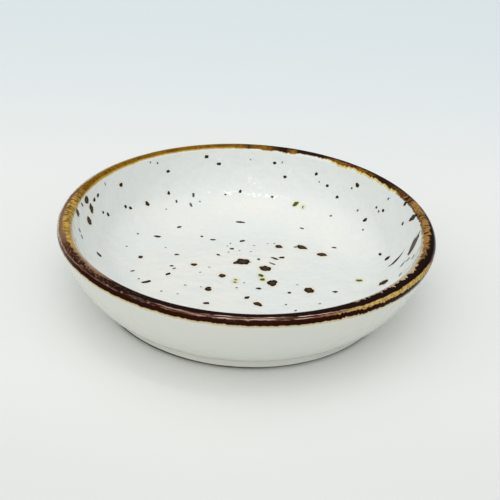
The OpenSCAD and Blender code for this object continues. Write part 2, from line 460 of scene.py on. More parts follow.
# Bearing in degrees and a strength from 0 to 1: how far the inner edge wanders, how deep
# the drips along it reach, how soft it is, and how plain each kind of marking shows
RAGGEDNESS = [
    (0, 0.35), (18, 0.4), (26, 0.65), (58, 0.65), (70, 0.4), (94, 0.2), (105, 0.1),
    (170, 0.2), (192, 0.4), (210, 0.7), (235, 0.5), (292, 0.4), (302, 0.5), (335, 0.5),
    (350, 0.5)]
DRIPS = [
    (0, 0.4), (20, 0.3), (28, 0.35), (58, 0.35), (66, 0.1), (200, 0), (292, 0.1), (300, 1),
    (334, 1), (350, 0.6)]
SOFTNESS = [
    (0, 0.35), (20, 0.35), (58, 0.3), (100, 0.35), (160, 0.4), (180, 0.7), (200, 0.9),
    (240, 0.8), (288, 0.6), (300, 0.15), (334, 0.15), (350, 0.4)]
CROSS_LINES = [
    (0, 1), (18, 1), (24, 0.6), (60, 0.4), (90, 0.25), (165, 0.35), (178, 0.8), (196, 0.6),
    (204, 0.3), (240, 0.2), (300, 0.25), (334, 0.35), (345, 1)]
SPOTS = [(0, 0.1), (92, 0.1), (98, 0.6), (165, 0.7), (180, 0.6), (200, 0.5), (208, 0)]
# Swirls round the front: the dark ones are streaks in the glaze, the pale ones and the thin lines beside
# the crest a painted highlight
SWIRLS_AND_HIGHLIGHTS = [
    (0, 0), (196, 0), (206, 0.45), (220, 0.3), (236, 0.45), (244, 0.7), (258, 0.7), (266, 1),
    (288, 1), (298, 0.6), (303, 0)]
BLOTS = [(0, 0), (196, 0), (203, 0.4), (214, 0.5), (224, 0.45), (234, 0.2), (246, 0)]
OUTLINE = [(0, 0), (190, 0), (199, 0.6), (222, 1), (334, 1), (343, 0.4), (350, 0)]

# Patterns drawn out across the lip: streaks in a radian, changes across, seed and detail
DRIFT_STREAKS = (14.0, 1.5, 3.1, 4.0)
BROAD_STREAKS = (15.0, 0.7, 8.4, 2.0)
FINE_STREAKS = (60.0, 1.6, 1.7, 3.0)
PATCH_STREAKS = (22.0, 5.0, 9.4, 3.0)
SPOT_STREAKS = (52.0, 8.0, 5.5, 3.0)
LINE_STREAKS = (52.0, 3.5, 6.2, 2.0)
BLOT_STREAKS = (56.0, 18.0, 7.3, 4.0)
SWIRL_STREAKS = (6.0, 70.0, 2.6, 4.0)

# Noise at which a marking starts and is full, and for some from what strength to what
LINES_SEEN = (0.53, 0.61)
BLOTS_SEEN = (0.51, 0.60)
SPOTS_SEEN = (0.50, 0.62)
DARK_PATCHES_SEEN = (0.50, 0.66, 0.0, 0.45)
PALE_PATCHES_SEEN = (0.42, 0.30, 0.0, 0.35)
# Pale swirls are a painted highlight
HIGHLIGHT_SWIRLS_SEEN = (0.575, 0.60, 0.0, 0.6)
DARK_SWIRLS_SEEN = (0.49, 0.43)
OUTER_BLOTS = 0.5

# How far the brush wandered: a share of a turn, then shares of all angles across the lip
BEARING_DRIFT = 0.022
RAGGED_REACH = 0.34
STEADY_REACH = 0.07
SOFT_REACH = 0.076
SPIKE_REACH = 0.12
LEAST_SPIKE_REACH = 0.02

# Weight of the fine wander beside the broad one
FINE_SHARE = 0.45

# Degrees past a table's angle at which one tone starts to give way to the next, and has
CREST_BLUR = (-7, 7)
OUTER_BLUR = (-2, 4)
OUTLINE_BLUR = (-2, 3)
LAST_BROWN_BLUR = (24, 4)

# Drips round the rim, their depth in degrees, and the smaller ones between them
DRIP_COUNT = 96
DRIP_DEPTH = 24
DRIP_WANDER = 2.4
SMALL_DRIP_BEAT = 2.7
SMALL_DRIP_SHARE = 0.5

# Thin pale lines beside the dark crest, a painted highlight: degrees past its edge, and a seed for their
# breaks
PAINTED_HIGHLIGHTS = [(0, 4.2), (17, 6.6)]
HIGHLIGHT_WIDTH = 5
HIGHLIGHT_BLUR = 1
HIGHLIGHT_STREAKS = (9.0, 0.5)
HIGHLIGHTS_SEEN = (0.40, 0.56)
HIGHLIGHTS_SEEN_AT_SWIRLS = (0.45, 1.0)


class LipPaint:
    """The brown glaze's colour and its cover of the white, at each place on the lip."""

    def __init__(self, finish):
        self.finish = finish
        x, y, z = finish.split(finish.place())
        flat = finish.node("CombineXYZ", {0: x, 1: y})
        radius = finish.node("VectorMath", {0: flat}, "Value", operation="LENGTH")
        out = finish.math("SUBTRACT", radius, lip_c.x)
        up = finish.math("SUBTRACT", z, lip_c.y)
        angle = finish.math("ARCTAN2", out, up)
        self.round_ring = finish.node("VectorMath", {0: flat}, "Vector", operation="NORMALIZE")
        self.across = finish.math("MULTIPLY_ADD", angle, 1 / math.radians(ALL_ANGLES), 0.5)
        turn = finish.math("DIVIDE", finish.math("ARCTAN2", y, x), FULL_TURN)
        turn = finish.math("ADD", turn, 1.0)
        turn = finish.math("MULTIPLY_ADD", self.wander(DRIFT_STREAKS), BEARING_DRIFT, turn)
        self.turn = finish.math("FRACT", turn)
        self.draw_edges()
        self.patches = self.streaks(*PATCH_STREAKS)
        self.blots = finish.spread(self.streaks(*BLOT_STREAKS), *BLOTS_SEEN)
        lines = finish.spread(self.streaks(*LINE_STREAKS), *LINES_SEEN)
        self.lines = finish.math("MULTIPLY", lines, self.at_bearing(CROSS_LINES))

    def streaks(self, count, changes, seed, detail):
        """Noise drawn out across the lip, with about count streaks in a radian."""
        lift = self.finish.math("MULTIPLY_ADD", self.across, changes, seed)
        lift = self.finish.node("CombineXYZ", {2: lift})
        wide = self.finish.node("VectorMath", {0: self.round_ring, "Scale": count}, operation="SCALE")
        vector = self.finish.node("VectorMath", {0: wide, 1: lift}, operation="ADD")
        return self.finish.noise(vector, 1.0, detail)

    def wander(self, pattern):
        """Streaks as a swing either side of 0."""
        return self.finish.math("SUBTRACT", self.streaks(*pattern), 0.5)

    def at_bearing(self, table):
        """A table's colour or strength at this bearing."""
        return self.finish.ramp(self.turn, by_bearing(table))

    def past(self, line, table):
        """How far a line lies past a table's angle, as a share of all angles."""
        edge = self.finish.ramp(self.turn, angles_by_bearing(table))
        return self.finish.math("SUBTRACT", line, edge)

    def beyond(self, line, table, low, high):
        """A step across the lip, from low to high degrees past a table's angles."""
        return self.finish.spread(self.past(line, table), low / ALL_ANGLES, high / ALL_ANGLES)

    def softly_beyond(self, table):
        """A step at the ragged inner edge, as soft as the fire left it there."""
        soft = self.finish.math("MULTIPLY", self.at_bearing(SOFTNESS), SOFT_REACH)
        hard = self.finish.math("MULTIPLY", soft, -1.0)
        return self.finish.spread(self.past(self.ragged, table), hard, soft)

    def drips(self, broad):
        """Depth of the drips along the inner edge, as a share of all angles."""
        beat = self.finish.math("MULTIPLY", self.turn, DRIP_COUNT)
        beat = self.finish.math("MULTIPLY_ADD", broad, DRIP_WANDER, beat)
        large = self.finish.math("PINGPONG", beat, 0.5)
        small = self.finish.math("MULTIPLY", beat, SMALL_DRIP_BEAT)
        small = self.finish.math("PINGPONG", small, 0.5)
        both = self.finish.math("MULTIPLY_ADD", small, SMALL_DRIP_SHARE, large)
        depth = DRIP_DEPTH / ALL_ANGLES
        middle = -0.5 * (1 + SMALL_DRIP_SHARE) * depth
        return self.finish.math("MULTIPLY_ADD", both, 2 * depth, middle)

    def draw_edges(self):
        """Places across the lip as a ragged, a steady and a spiky brush saw them."""
        math_node = self.finish.math
        broad = self.wander(BROAD_STREAKS)
        fine = self.wander(FINE_STREAKS)
        both = math_node("MULTIPLY_ADD", fine, FINE_SHARE, broad)
        wild = math_node("MULTIPLY", both, self.at_bearing(RAGGEDNESS))
        ragged = math_node("MULTIPLY_ADD", wild, RAGGED_REACH, self.across)
        self.ragged = math_node("MULTIPLY_ADD", self.drips(broad), self.at_bearing(DRIPS), ragged)
        self.steady = math_node("MULTIPLY_ADD", both, STEADY_REACH, self.across)
        spikes = math_node("MULTIPLY_ADD", self.at_bearing(DRIPS), SPIKE_REACH, LEAST_SPIKE_REACH)
        self.spiky = math_node("ADD", math_node("MULTIPLY", fine, spikes), self.steady)

    def inner_tone(self):
        finish = self.finish
        tone = self.at_bearing(INNER_FACE)
        tone = finish.mix(finish.spread(self.patches, *DARK_PATCHES_SEEN), tone, RED_BROWN)
        spots = finish.spread(self.streaks(*SPOT_STREAKS), *SPOTS_SEEN)
        spots = finish.math("MULTIPLY", spots, self.at_bearing(SPOTS))
        tone = finish.mix(spots, tone, OLIVE_BROWN)
        return finish.mix(self.lines, tone, RED_BROWN)

    def outer_tone(self):
        finish = self.finish
        tone = finish.mix(self.lines, self.at_bearing(OUTER_FACE), CHESTNUT)
        tone = finish.mix(finish.math("MULTIPLY", self.blots, OUTER_BLOTS), tone, CHESTNUT)
        tone = finish.mix(finish.spread(self.patches, *PALE_PATCHES_SEEN), tone, CREAM)
        swirl = self.streaks(*SWIRL_STREAKS)
        plain = self.at_bearing(SWIRLS_AND_HIGHLIGHTS)
        # Pale swirls are a painted highlight, dark ones streaks in the glaze
        pale = finish.math("MULTIPLY", finish.spread(swirl, *HIGHLIGHT_SWIRLS_SEEN), plain)
        dark = finish.math("MULTIPLY", finish.spread(swirl, *DARK_SWIRLS_SEEN), plain)
        return finish.mix(dark, finish.mix(pale, tone, PAINTED_HIGHLIGHT_ROSE), RED_BROWN)

    def painted_highlight(self, start, seed):
        """A thin broken painted highlight line, start degrees past the dark crest's outer edge."""
        end = start + HIGHLIGHT_WIDTH
        near_side = self.beyond(self.steady, DARK_TO, start - HIGHLIGHT_BLUR, start + HIGHLIGHT_BLUR)
        far_side = self.beyond(self.steady, DARK_TO, end + HIGHLIGHT_BLUR, end - HIGHLIGHT_BLUR)
        line = self.finish.math("MULTIPLY", near_side, far_side)
        broken = self.finish.spread(self.streaks(*HIGHLIGHT_STREAKS, seed, 2.0), *HIGHLIGHTS_SEEN)
        line = self.finish.math("MULTIPLY", line, broken)
        plain = self.finish.spread(self.at_bearing(SWIRLS_AND_HIGHLIGHTS), *HIGHLIGHTS_SEEN_AT_SWIRLS)
        return self.finish.math("MULTIPLY", line, plain)

    def tone_and_cover(self):
        """Colour of the brown glaze, and how much of it covers the white."""
        finish = self.finish
        tone = self.inner_tone()
        crest = self.beyond(self.ragged, DARK_FROM, *CREST_BLUR)
        tone = finish.mix(crest, tone, self.at_bearing(CREST))
        blots = finish.math("MULTIPLY", self.blots, self.at_bearing(BLOTS))
        tone = finish.mix(blots, tone, ROSE_BROWN)
        outer = self.beyond(self.steady, DARK_TO, *OUTER_BLUR)
        tone = finish.mix(outer, tone, self.outer_tone())
        # Thin painted highlight lines beside the crest
        for start, seed in PAINTED_HIGHLIGHTS:
            tone = finish.mix(self.painted_highlight(start, seed), tone, PAINTED_HIGHLIGHT_ROSE)
        outline = self.beyond(self.spiky, OUTLINE_FROM, *OUTLINE_BLUR)
        outline = finish.math("MULTIPLY", outline, self.at_bearing(OUTLINE))
        tone = finish.mix(outline, tone, RED_BROWN)
        tone = finish.mix(self.softly_beyond(FRINGE_TO), self.at_bearing(INNER_FRINGE), tone)
        tone = finish.mix(self.beyond(self.spiky, BROWN_TO, *OUTER_BLUR), tone, PALE_YELLOW)
        outside = self.beyond(self.steady, BROWN_TO, *LAST_BROWN_BLUR)
        return tone, finish.math("MULTIPLY", self.softly_beyond(BROWN_FROM), outside)


# Patterns in the glazes and the clay, in changes to a metre, and how deep their bumps are
CLOUD_SCALE = 60.0
GLAZE_DIMPLE_SCALE = 300.0
INSIDE_DIMPLES = 0.3 * MM
OUTSIDE_DIMPLES = 0.1 * MM
BROWN_GRAIN_SCALE = 900.0
BROWN_GRAIN = 0.05 * MM
IRON_GRAIN_SCALE = 2500.0
IRON_GRAIN = 0.03 * MM
CLAY_CLOUD_SCALE = 90.0
CLAY_SPECK_SCALE = 1800.0
CLAY_SPECKS = 0.08 * MM

# Share of an iron stain's colour, round a fleck and in a green one
STAIN = 0.7

# How strongly the brown glaze mirrors, where it bares the white and where it covers it
BARE_SHINE = 0.5
COVERED_SHINE = 0.04

# The dark line at the sole, partly the glaze's toasted edge and partly painted contact shade: its width,
# how far it wanders, and how much thinner it gets for each metre to the right
SOLE_LINE = 0.2 * MM
SOLE_WANDER = 0.4 * MM
SOLE_WANDER_SCALE = 40.0
SOLE_LEAN = 0.005


def stained_white(finish, height, white):
    """The inside's white, cooler up the wall, partly as painted shade, and stained round the flecks."""
    white = finish.mix(finish.spread(height, floor_z, dish_h / 2), white, SHADED_WALL_WHITE)
    halo = finish.math("MULTIPLY", finish.attribute("halo"), STAIN)
    white = finish.mix(halo, white, PEACH)
    green = finish.math("MULTIPLY", finish.attribute("green"), STAIN)
    return finish.mix(green, white, PALE_GREEN)


def white_down_to_sole(finish, place, height, white):
    """The outside's white, with a dark line above the sole: the toasted edge where the glaze was wiped
    off, darkened as painted contact shade.
    """
    rightward = finish.split(place)[0]
    height = finish.math("MULTIPLY_ADD", rightward, SOLE_LEAN, height)
    wander = finish.noise(place, SOLE_WANDER_SCALE, 2.0)
    height = finish.math("MULTIPLY_ADD", wander, -SOLE_WANDER, height)
    return finish.mix(finish.spread(height, dry_h, dry_h + SOLE_LINE), TOASTED_EDGE_AND_SHADE, white)


def white_glaze(name, first_white, second_white, inside):
    """Glossy white glaze, a little cooler in places, with the lip's colour at its edge."""
    finish = Finish(name)
    place = finish.place()
    brown, cover = LipPaint(finish).tone_and_cover()
    cloud = finish.noise(place, CLOUD_SCALE, 3.0)
    white = finish.mix(finish.spread(cloud, 0.35, 0.65), first_white, second_white)
    height = finish.split(place)[2]
    if inside:
        white = stained_white(finish, height, white)
    else:
        white = white_down_to_sole(finish, place, height, white)
    tone = finish.mix(cover, white, brown)
    dimples = finish.noise(place, GLAZE_DIMPLE_SCALE, 1.0)
    normal = finish.bump(dimples, 1.0, INSIDE_DIMPLES if inside else OUTSIDE_DIMPLES)
    return finish.surface(Base_Color=tone, Roughness=0.06, IOR=1.52, Normal=normal)


def brown_glaze():
    """The reactive glaze of the lip: glossy, streaked, thin and pale at both edges."""
    finish = Finish("brown_reactive_glaze")
    paint = LipPaint(finish)
    brown, cover = paint.tone_and_cover()
    outward = finish.spread(paint.across, lip_share(-10), lip_share(20))
    tone = finish.mix(cover, finish.mix(outward, SHADED_WALL_WHITE, SHADED_OUTER_WHITE), brown)
    grain = finish.noise(finish.place(), BROWN_GRAIN_SCALE, 2.0)
    normal = finish.bump(grain, 0.35, BROWN_GRAIN)
    rough = finish.spread(grain, 0.3, 0.7, 0.06, 0.12)
    shine = finish.math("MULTIPLY_ADD", cover, COVERED_SHINE - BARE_SHINE, BARE_SHINE)
    return finish.surface(Base_Color=tone, Roughness=rough, IOR=1.54, Specular_IOR_Level=shine,
                          Normal=normal)


def iron_glass():
    """Melted iron grains: a dark edge, a browner middle and an amber fringe."""
    finish = Finish("melted_iron")
    grain = finish.noise(finish.place(), IRON_GRAIN_SCALE, 3.0)
    uneven = finish.math("SUBTRACT", grain, 0.5)
    edge = finish.math("MULTIPLY_ADD", uneven, 0.5, finish.attribute("edge"))
    tone = finish.ramp(edge, [(0.0, IRON_BROWN), (0.40, IRON_BROWN), (0.66, IRON_BLACK),
                              (0.92, IRON_BLACK), (1.0, IRON_AMBER)])
    tone = finish.mix(finish.attribute("faint"), tone, FAINT_GREY)
    green = finish.math("MULTIPLY", finish.attribute("green"), STAIN)
    tone = finish.mix(green, tone, OLIVE_GREEN)
    normal = finish.bump(grain, 0.3, IRON_GRAIN)
    return finish.surface(Base_Color=tone, Roughness=0.22, IOR=1.6, Specular_IOR_Level=0.07,
                          Normal=normal)


def bare_stoneware():
    """Unglazed clay of the sole: matt, speckled with grog and toasted beside the glaze."""
    finish = Finish("bare_stoneware")
    place = finish.place()
    speck = finish.noise(place, CLAY_SPECK_SCALE, 3.0)
    cloud = finish.noise(place, CLAY_CLOUD_SCALE, 3.0)
    tone = finish.mix(finish.spread(cloud, 0.3, 0.7), BARE_CLAY, TOASTED_CLAY)
    tone = finish.mix(finish.spread(speck, 0.62, 0.72, 0.0, 0.7), tone, CHESTNUT)
    normal = finish.bump(speck, 0.6, CLAY_SPECKS)
    return finish.surface(Base_Color=tone, Roughness=0.85, Specular_IOR_Level=0.2, Normal=normal)


# The floor's tones, from in front of the dish to far behind it: painted light and shade of the studio
FLOOR_FRONT, FLOOR_BACK = -0.10, 0.30
FLOOR_LIGHT_AND_SHADE = [(0.0, colour(228, 229, 226)), (0.05, colour(235, 237, 234)),
               (0.35, colour(239, 241, 239)), (1.0, colour(227, 236, 239))]


def pale_floor():
    """Pale matt floor with painted light and shade: a little darker in front, lightest round the dish,
    where it lifts the dish's cast shadow, and cooler far behind the dish.
    """
    finish = Finish("pale_floor")
    backward = finish.split(finish.place())[1]
    tone = finish.ramp(finish.spread(backward, FLOOR_FRONT, FLOOR_BACK), FLOOR_LIGHT_AND_SHADE)
    return finish.surface(Base_Color=tone, Roughness=0.6)


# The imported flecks, found in the part, and small ones that only show in the glaze

def packed_flecks():
    """Corners of each loose solid of the part's iron flecks, from left to right."""
    bm = bmesh.new()
    bm.from_mesh(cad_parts["iron_flecks"].data)
    bmesh.ops.remove_doubles(bm, verts=bm.verts, dist=PACKED_WELD_REACH)
    left = set(bm.verts)
    found = []
    while left:
        group = []
        edge_of_group = [left.pop()]
        while edge_of_group:
            vert = edge_of_group.pop()
            group.append(vert.co.copy())
            for edge in vert.link_edges:
                other = edge.other_vert(vert)
                if other in left:
                    left.remove(other)
                    edge_of_group.append(other)
        found.append(sorted(group, key=tuple))
    bm.free()
    return sorted(found, key=lambda corners: tuple(corners[0]))


over_lip = [p for p in stretches["rim"] if p.x < lip_c.x]
top_line = over_lip + stretches["inner"][1:]


def slope_at(radius):
    """Height of the inner surface at a radius, and its climb."""
    for high, low in zip(top_line, top_line[1:]):
        if low.x <= radius <= high.x:
            share = (radius - low.x) / (high.x - low.x)
            way = high - low
            return low.y + share * way.y, math.atan2(way.y, way.x)
    return top_line[0].y, 0.0


def on_wall(share):
    """Radius at a share of the way from the floor's edge to the brown glaze."""
    if share < 0.5:
        return bend(low_wall, 2 * share).x
    return bend(high_wall, (2 * share - 1) * inner_band_share).x


# Flecks that melted to an olive green: places right of the axis and behind it, in millimetres
GREEN_SPOTS = [(4, -5), (5, -7), (-3, -9), (31, -6), (15, 35), (17, 34)]
GREEN_REACH = 1.4 * MM


class Fleck:
    """A place on the inner surface with a length, a width and a turn off the slope."""

    def __init__(self, radius, bearing, length, width, turn, faint=0.0):
        self.length, self.width, self.faint = length, width, faint
        height, climb = slope_at(radius)
        across = Vector((-math.sin(bearing), math.cos(bearing), 0))
        out = Vector((math.cos(bearing), math.sin(bearing), 0))
        upslope = math.cos(climb) * out + math.sin(climb) * Vector((0, 0, 1))
        self.middle = radius * out + height * Vector((0, 0, 1))
        self.long_way = math.cos(turn) * upslope + math.sin(turn) * across
        self.wide_way = math.cos(turn) * across - math.sin(turn) * upslope
        self.up = self.long_way.cross(self.wide_way)
        self.green = any((self.middle.xy - Vector(spot) * MM).length < GREEN_REACH for spot in GREEN_SPOTS)


def fleck_from(corners):
    """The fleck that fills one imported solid."""
    middle = sum(corners, Vector()) / len(corners)
    bearing = math.atan2(middle.y, middle.x)
    flat = Fleck(middle.xy.length, bearing, 0, 0, 0)
    across = [(c - flat.middle).dot(flat.long_way) for c in corners]
    aside = [(c - flat.middle).dot(flat.wide_way) for c in corners]
    lean = np.linalg.eigh(np.cov(across, aside))[1][:, 1]
    turn = math.atan2(lean[1], lean[0])
    turned_fleck = Fleck(middle.xy.length, bearing, 0, 0, turn)
    reach = [(c - flat.middle).dot(turned_fleck.long_way) for c in corners]
    width = [(c - flat.middle).dot(turned_fleck.wide_way) for c in corners]
    return Fleck(middle.xy.length, bearing, max(reach) - min(reach), max(width) - min(width), turn)


# Small flecks that only show in the glaze, read from the photograph: share of the
# way out, bearing, length and width in millimetres, turn off the slope and faintness
SMALL_FLOOR_SHARES = [
    (0.25, 8, 1.8, 0.7, -39, 0.3), (0.09, 168, 1.3, 1.1, 53, 0.0), (0.64, 192, 1.1, 0.6, 32, 0.3),
    (0.59, 38, 0.9, 0.7, -30, 0.2), (0.40, 112, 0.5, 0.5, 0, 0.3), (0.36, 119, 0.5, 0.4, 0, 0.4),
    (0.36, 78, 0.4, 0.6, 0, 0.4), (0.45, 63, 0.4, 0.5, 0, 0.4), (0.49, 57, 0.5, 0.5, 0, 0.3),
    (0.24, 79, 0.4, 0.5, 0, 0.4), (0.32, 255, 0.5, 0.9, 0, 0.15), (0.28, 254, 0.5, 0.8, 0, 0.35),
    (0.40, 261, 0.5, 0.7, 0, 0.4), (0.33, 194, 0.6, 0.4, 0, 0.5), (0.71, 300, 0.5, 0.6, 0, 0.3),
    (0.82, 302, 0.5, 0.7, 0, 0.3), (0.97, 200, 0.6, 0.5, 0, 0.3), (0.78, 163, 0.6, 0.4, 0, 0.4),
    (0.43, 204, 0.6, 0.4, 0, 0.5), (0.55, 228, 0.5, 0.5, 0, 0.5), (0.86, 216, 0.6, 0.5, 0, 0.4),
    (0.25, 104, 0.5, 0.6, 0, 0.7), (0.26, 128, 0.5, 0.6, 0, 0.7), (0.31, 270, 0.5, 0.7, 0, 0.7),
    (0.55, 327, 0.6, 0.5, 0, 0.7), (0.86, 318, 0.6, 0.7, 0, 0.6), (0.64, 218, 0.6, 0.6, 0, 0.7),
    (0.77, 224, 0.6, 0.5, 0, 0.7)]
SMALL_WALL_SHARES = [
    (0.97, 174, 1.3, 0.7, 17, 0.0), (0.87, 185, 1.3, 0.8, 0, 0.3), (0.82, 186, 1.2, 0.8, -17, 0.3),
    (0.97, 156, 1.0, 0.4, 0, 0.3), (0.20, 157, 0.6, 0.7, 0, 0.2), (0.19, 170, 0.6, 0.5, 0, 0.3),
    (0.87, 45, 0.6, 0.6, 0, 0.1), (0.82, 30, 0.8, 0.7, 0, 0.1), (0.80, 28, 0.7, 0.6, 0, 0.1),
    (0.68, 38, 0.7, 0.6, 0, 0.2), (0.95, 26, 1.0, 0.5, -21, 0.2), (0.69, -7, 2.2, 0.6, 13, 0.2),
    (0.78, -8, 1.8, 0.6, -10, 0.2), (0.86, -11, 1.4, 0.7, 39, 0.2), (0.66, -13, 1.3, 0.7, 27, 0.2),
    (0.04, -10, 1.7, 1.0, 11, 0.1), (0.49, 29, 0.7, 0.7, 0, 0.3), (0.42, 48, 0.6, 0.8, 0, 0.2),
    (0.99, 132, 0.5, 0.4, 0, 0.2), (0.97, 129, 0.7, 0.5, 0, 0.2), (0.47, 125, 1.1, 0.6, -20, 0.1),
    (0.52, 116, 1.4, 0.7, -15, 0.1), (0.34, 119, 1.7, 0.7, -4, 0.2), (0.38, 132, 0.4, 0.5, 0, 0.3),
    (0.38, 114, 0.6, 0.5, 0, 0.3), (0.48, 101, 0.6, 0.7, 0, 0.1), (0.93, 77, 0.7, 0.3, -27, 0.2),
    (0.93, 90, 0.4, 0.4, 0, 0.2), (0.40, 63, 1.0, 0.4, 19, 0.3), (0.82, 60, 0.5, 0.4, 0, 0.3),
    (0.48, 79, 0.8, 0.8, 0, 0.1), (0.01, 192, 1.1, 0.7, 22, 0.3), (1.02, 16, 1.2, 1.0, 0, 0.0),
    (1.02, 6.5, 2.2, 1.2, -28, 0.0)]


def small_flecks():
    """The small flecks of both tables, those of the floor first."""
    listed = [(share * floor_r, *rest) for share, *rest in SMALL_FLOOR_SHARES]
    listed += [(on_wall(share), *rest) for share, *rest in SMALL_WALL_SHARES]
    return [Fleck(radius, math.radians(bearing), length * MM, width * MM, math.radians(turn), faint)
            for radius, bearing, length, width, turn, faint in listed]


FLECK_SIDES = 20
FLECK_RINGS = 8
FLECK_PROUD = 0.03 * MM
FLECK_SPREAD = 1.12

# Flecks whose length over width passes POINTED_FROM are drawn out to points, and all that
# are longer than LONG_FLECK
POINTED_FROM = 2.2
POINTED_SPAN = 2
LONG_FLECK = 5 * MM
TIP_REACH = 0.15
TIP_NARROWING = 0.45
TIP_POWER = 1.5

# Lobes of a fleck's outline, as the noise's scale and depth, and its step between flecks
LOBES = [(1.3, 0.34), (3.2, 0.26)]
LOBE_STEP = (7.3, 3.1)


def pebble():
    """A ball that each fleck's shape starts from."""
    bm = bmesh.new()
    bmesh.ops.create_uvsphere(bm, u_segments=FLECK_SIDES, v_segments=FLECK_RINGS, radius=1)
    mesh = bpy.data.meshes.new("pebble")
    bm.to_mesh(mesh)
    bm.free()
    return mesh


def pointedness(fleck):
    """How far a fleck's ends are drawn out, from 0 to 1."""
    if fleck.length > LONG_FLECK:
        return 1
    return min(max((fleck.length / fleck.width - POINTED_FROM) / POINTED_SPAN, 0), 1)


def melted_place(fleck, number, ball_point):
    """Where a point of the ball comes to lie when the fleck melts into the glaze."""
    x, y, z = ball_point
    pointed = pointedness(fleck)
    around = Vector((x, y, 0)).normalized()
    seed = Vector((number * LOBE_STEP[0], number * LOBE_STEP[1], 0))
    swell = 1
    for scale, depth in LOBES:
        swell += depth * noise.noise(around * scale + seed)
    narrow = 1 - TIP_NARROWING * pointed * abs(around.x) ** TIP_POWER
    along = (FLECK_SPREAD + TIP_REACH * pointed) * swell * x * fleck.length / 2
    aside = FLECK_SPREAD * swell * narrow * y * fleck.width / 2
    spot = fleck.middle + along * fleck.long_way + aside * fleck.wide_way
    height, _ = slope_at(spot.xy.length)
    place = Vector((spot.x, spot.y, height)) + z * FLECK_PROUD * fleck.up
    return place + unevenness(place)


def mark(mesh, name, values):
    """Gives each point of a mesh a value that its material reads."""
    mesh.attributes.new(name, "FLOAT", "POINT").data.foreach_set("value", values)


def iron_fleck_piece(flecks):
    """Each fleck is a thin melted pebble that follows the surface it lies in."""
    bm = bmesh.new()
    ball = pebble()
    edges, faints, greens = [], [], []
    for number, fleck in enumerate(flecks):
        first = len(bm.verts)
        bm.from_mesh(ball)
        bm.verts.ensure_lookup_table()
        for vert in bm.verts[first:]:
            edges.append(math.hypot(*vert.co.xy))
            faints.append(fleck.faint)
            greens.append(float(fleck.green))
            vert.co = melted_place(fleck, number, vert.co)
    bpy.data.meshes.remove(ball)
    bmesh.ops.recalc_face_normals(bm, faces=bm.faces)
    piece = finish_mesh(bm, "melted_iron_flecks", "iron_flecks")
    mark(piece.data, "edge", edges)
    mark(piece.data, "faint", faints)
    mark(piece.data, "green", greens)
    return piece


# Iron bleeds this far into the glaze round a fleck, less round one that is narrower than
# FULL_HALO_WIDTH and not at all below NO_HALO_WIDTH. The glaze sinks a little beside it
HALO_REACH = 1.1 * MM
HALO_STEEPNESS = 1.6
NO_HALO_WIDTH = 0.8 * MM
FULL_HALO_WIDTH = 1.8 * MM
DENT_REACH = 0.8 * MM
DENT_DEPTH = 0.05 * MM
DENT_STEEPNESS = 2


def reach_from(fleck, away, margin):
    """Distance from a fleck's middle, as 1 at its outline grown by a margin."""
    along = away @ np.array(fleck.long_way, np.float32)
    aside = away @ np.array(fleck.wide_way, np.float32)
    return np.hypot(along / (fleck.length / 2 + margin), aside / (fleck.width / 2 + margin))


def mark_flecks(piece, flecks):
    """Sinks the glaze round each fleck a little and marks where iron has bled into it."""
    mesh = piece.data
    places = np.empty(len(mesh.vertices) * 3, np.float32)
    mesh.vertices.foreach_get("co", places)
    places = places.reshape(-1, 3)
    halo = np.zeros(len(places), np.float32)
    green = np.zeros(len(places), np.float32)
    sunk = np.zeros_like(places)
    for fleck in flecks:
        away = places - np.array(fleck.middle, np.float32)
        near = np.abs(away @ np.array(fleck.up, np.float32)) < MM
        fade = np.exp(-DENT_STEEPNESS * reach_from(fleck, away, DENT_REACH) ** 2)
        sunk -= np.outer(near * DENT_DEPTH * fade, np.array(fleck.up))
        glow = near * np.clip(HALO_STEEPNESS * (1 - reach_from(fleck, away, HALO_REACH)), 0, 1)
        if fleck.green:
            green = np.maximum(green, glow)
        else:
            wide = (fleck.width - NO_HALO_WIDTH) / (FULL_HALO_WIDTH - NO_HALO_WIDTH)
            halo = np.maximum(halo, glow * min(max(wide, 0), 1))
    mesh.vertices.foreach_set("co", (places + sunk).ravel())
    mesh.update()
    mark(mesh, "halo", halo.astype(np.float32))
    mark(mesh, "green", green.astype(np.float32))


def build_dish():
    body = turned(clay_line, "stoneware_body", "clay_body")
    inner = turned(coat_outline("inner"), "inner_white_coat", "inner_glaze")
    outer = turned(coat_outline("outer"), "outer_white_coat", "outer_glaze")
    base = turned(coat_outline("base"), "base_white_coat", "base_glaze")
    lip = turned(coat_outline("rim"), "brown_lip_coat", "rim_glaze")
    flecks = [fleck_from(corners) for corners in packed_flecks()]
    flecks += small_flecks()
    iron = iron_fleck_piece(flecks)
    mark_flecks(inner, flecks)
    outside_white = white_glaze("white_glaze_outside", SHADED_OUTER_WHITE, SHADED_OUTER_COOL, inside=False)
    body.data.materials.append(bare_stoneware())
    inner.data.materials.append(white_glaze("white_glaze_inside", WHITE, COOL_WHITE, inside=True))
    outer.data.materials.append(outside_white)
    base.data.materials.append(outside_white)
    lip.data.materials.append(brown_glaze())
    iron.data.materials.append(iron_glass())


# Camera, as the photograph was taken: a long way round the dish's middle, then turned
CAMERA_DISTANCE = 4.14 * rim_r
CAMERA_AIM = Vector((0, 0, 0.2 * rim_r))
CAMERA_ELEVATION = math.radians(29.95)
CAMERA_ROLL = math.radians(-2.92)
CAMERA_TILT = math.radians(-0.05)
CAMERA_PAN = math.radians(-0.31)
CAMERA_LENS = 54


